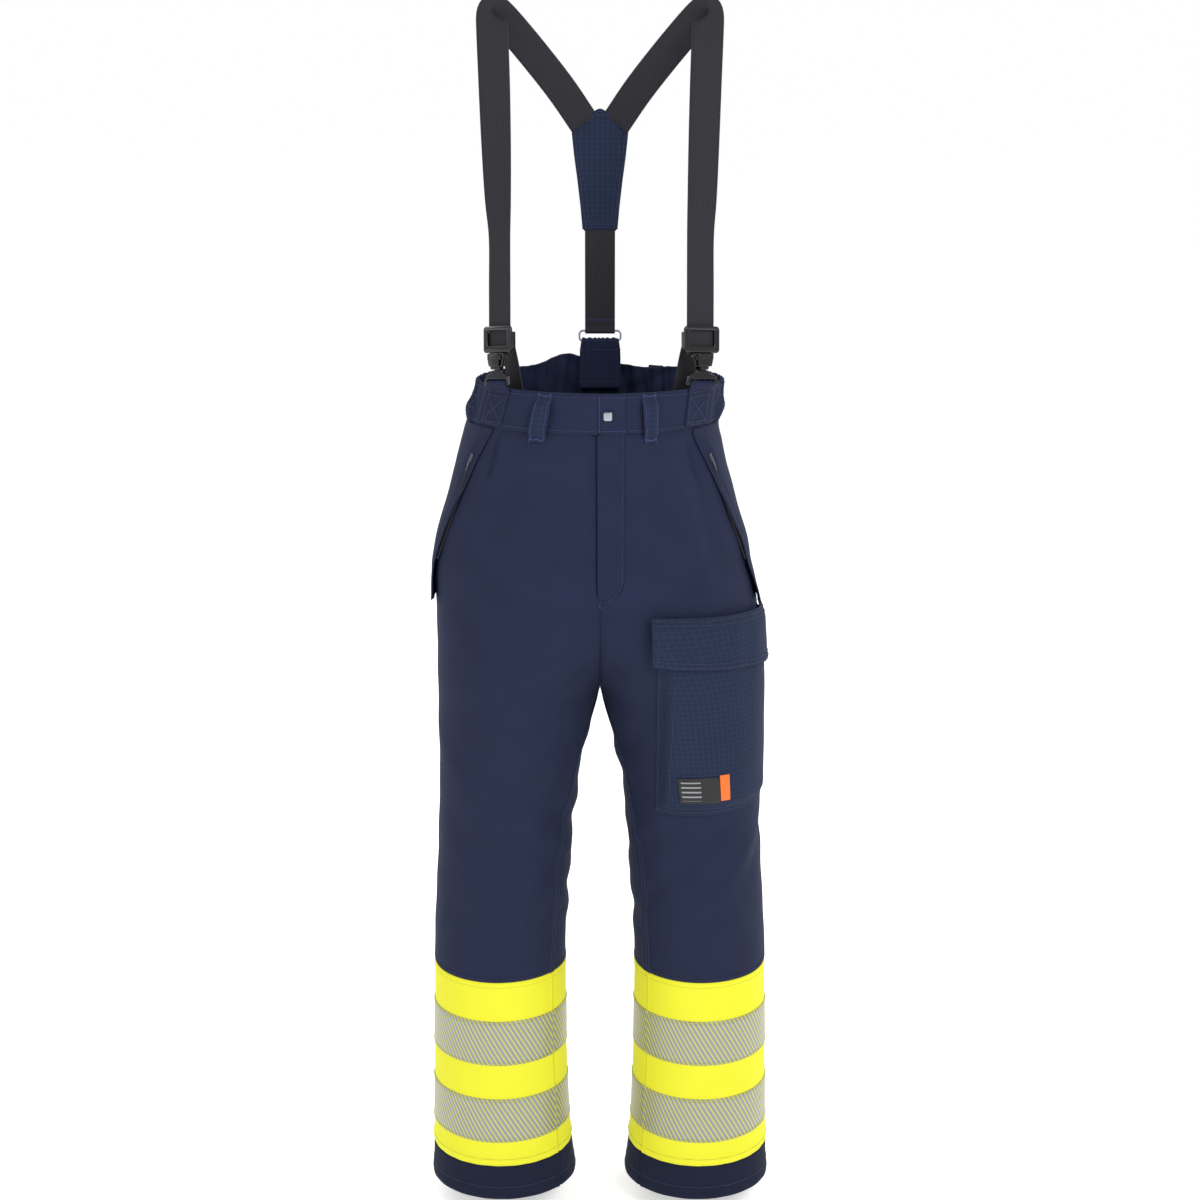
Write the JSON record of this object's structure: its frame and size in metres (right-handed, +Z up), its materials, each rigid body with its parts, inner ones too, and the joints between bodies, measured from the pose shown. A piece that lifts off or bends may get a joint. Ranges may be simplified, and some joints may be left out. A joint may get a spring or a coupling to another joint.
{
  "type": "bunker pants",
  "caption": "Firefighter's bunker pants in navy cloth with elastic braces, thigh pocket and bright reflective cuffs, hung as worn.",
  "frame": {"origin": "centre of the waist opening, level with the top edge of the waistband", "axes": "+Z up along the legs, -Y to the wearer's front, +X to the wearer's left"},
  "size_m": [0.46, 0.2858, 1.5593],
  "materials": {
    "shell_navy": "fine twill",
    "lining_navy": "plain weave",
    "ripstop_navy": "ripstop grid",
    "hi_vis_yellow": "fluorescent satin weave",
    "reflective_silver": "segmented retroreflective film",
    "webbing_black": "ribbed elastic webbing",
    "buckle_black": "moulded",
    "ring_steel": "bright wire",
    "zip_black": "woven tape",
    "zip_slider_grey": "gunmetal",
    "label_black": "woven label",
    "label_orange": "woven tab"
  },
  "bodies": {
    "root": {"front_panel_left": "shell_navy", "front_panel_right": "shell_navy", "back_panel_left": "shell_navy", "back_panel_right": "shell_navy", "lining": "lining_navy", "hi_vis_cuff_left": "hi_vis_yellow", "hi_vis_cuff_right": "hi_vis_yellow", "reflective_tape_upper_left": "reflective_silver", "reflective_tape_upper_right": "reflective_silver", "reflective_tape_lower_left": "reflective_silver", "reflective_tape_lower_right": "reflective_silver", "hem_left": "shell_navy", "hem_right": "shell_navy", "waistband_front_left": "shell_navy", "waistband_front_right": "shell_navy", "waistband_back": "shell_navy", "side_elastics": "shell_navy", "fly_guard": "lining_navy", "fly_zip_tapes": "zip_black", "fly_zip_teeth": "zip_black", "snap_stud": "ring_steel", "belt_loop_left": "ripstop_navy", "belt_loop_right": "ripstop_navy", "belt_loops_back": "ripstop_navy", "hand_pocket_bag_left": "lining_navy", "hand_pocket_bag_right": "lining_navy", "hand_pocket_zip_left": "zip_black", "hand_pocket_zip_right": "zip_black", "cargo_pocket": "ripstop_navy", "cargo_loop_tape": "zip_black", "label_patch": "label_black", "label_tab": "label_orange", "rear_tab": "ripstop_navy", "brace_loop_left": "shell_navy", "brace_loop_right": "shell_navy"},
    "ring": {"rear_ring": "ring_steel"},
    "braces": {"brace_strap_left": "webbing_black", "brace_strap_right": "webbing_black", "brace_tails": "webbing_black", "brace_yoke": "ripstop_navy", "brace_back_strap": "webbing_black"},
    "buckle_left": {"adjuster_left": "buckle_black", "clip_body_left": "buckle_black"},
    "buckle_right": {"adjuster_right": "buckle_black", "clip_body_right": "buckle_black"},
    "clip_lever_left_body": {"clip_lever_left": "buckle_black"},
    "clip_lever_right_body": {"clip_lever_right": "buckle_black"},
    "lower_hook_left_body": {"lower_hook_left": "buckle_black"},
    "lower_hook_right_body": {"lower_hook_right": "buckle_black"},
    "cargo_flap_body": {"cargo_flap": "ripstop_navy", "cargo_hook_tape": "zip_black"},
    "hand_flap_left": {"hand_pocket_flap_left": "shell_navy"},
    "hand_flap_right": {"hand_pocket_flap_right": "shell_navy"},
    "fly": {"fly_cover": "shell_navy", "waist_tab": "shell_navy", "snap_cap": "ring_steel"},
    "fly_slider": {"fly_zip_slider": "zip_slider_grey", "fly_zip_pull": "zip_slider_grey"},
    "pocket_slider_left": {"hand_pocket_slider_left": "zip_slider_grey"},
    "pocket_slider_right": {"hand_pocket_slider_right": "zip_slider_grey"}
  },
  "joints": [
    {"name": "rear_ring_swing", "type": "hinge", "parent": "root", "child": "ring", "pos_m": [0, 0.113, 0.031], "axis": [-1, 0, 0], "range_deg": [0, 30]},
    {"name": "braces_swing", "type": "hinge", "parent": "ring", "child": "braces", "pos_m": [0, 0.113, 0.044], "axis": [-1, 0, 0], "range_deg": [0, 120]},
    {"name": "adjuster_left_slide", "type": "slide", "parent": "braces", "child": "buckle_left", "axis": [0, 0.1805, 0.9836], "range_m": [0, 0.08]},
    {"name": "clip_lever_left_press", "type": "hinge", "parent": "buckle_left", "child": "clip_lever_left_body", "pos_m": [0.1286, -0.07726, 0.03734], "axis": [-0.866, -0.4918, 0.0903], "range_deg": [0, 10], "stiffness_Nm_per_rad": 0.02},
    {"name": "lower_hook_left_swing", "type": "hinge", "parent": "root", "child": "lower_hook_left_body", "pos_m": [0.12625, -0.07894, 0.00562], "axis": [0.866, 0.4918, -0.0903], "range_deg": [0, 80]},
    {"name": "hand_flap_left_open", "type": "hinge", "parent": "root", "child": "hand_flap_left", "pos_m": [0.1901, 0.0231, -0.169], "axis": [-0.2059, -0.0163, 0.9784], "range_deg": [0, 60]},
    {"name": "pocket_zip_left_slide", "type": "slide", "parent": "root", "child": "pocket_slider_left", "axis": [0.3262, 0.1684, -0.9302], "range_m": [0, 0.12]},
    {"name": "adjuster_right_slide", "type": "slide", "parent": "braces", "child": "buckle_right", "axis": [0, 0.1805, 0.9836], "range_m": [0, 0.08]},
    {"name": "clip_lever_right_press", "type": "hinge", "parent": "buckle_right", "child": "clip_lever_right_body", "pos_m": [-0.13062, -0.07571, 0.03706], "axis": [-0.6947, 0.7075, -0.1299], "range_deg": [0, 10], "stiffness_Nm_per_rad": 0.02},
    {"name": "lower_hook_right_swing", "type": "hinge", "parent": "root", "child": "lower_hook_right_body", "pos_m": [-0.12724, -0.07818, 0.00548], "axis": [0.6947, -0.7075, 0.1299], "range_deg": [0, 80]},
    {"name": "hand_flap_right_open", "type": "hinge", "parent": "root", "child": "hand_flap_right", "pos_m": [-0.1901, 0.0231, -0.169], "axis": [-0.2059, 0.0163, -0.9784], "range_deg": [0, 60]},
    {"name": "pocket_zip_right_slide", "type": "slide", "parent": "root", "child": "pocket_slider_right", "axis": [-0.3262, 0.1684, -0.9302], "range_m": [0, 0.12]},
    {"name": "cargo_flap_lift", "type": "hinge", "parent": "root", "child": "cargo_flap_body", "pos_m": [0.18676, -0.08744, -0.29], "axis": [-0.6557, -0.755, 0], "range_deg": [0, 55]},
    {"name": "fly_open", "type": "hinge", "parent": "root", "child": "fly", "pos_m": [0.031, -0.1293, -0.13], "axis": [0, 0, 1], "range_deg": [0, 100]},
    {"name": "fly_zip_slide", "type": "slide", "parent": "root", "child": "fly_slider", "axis": [0, 0, -1], "range_m": [0, 0.165]}
  ]
}
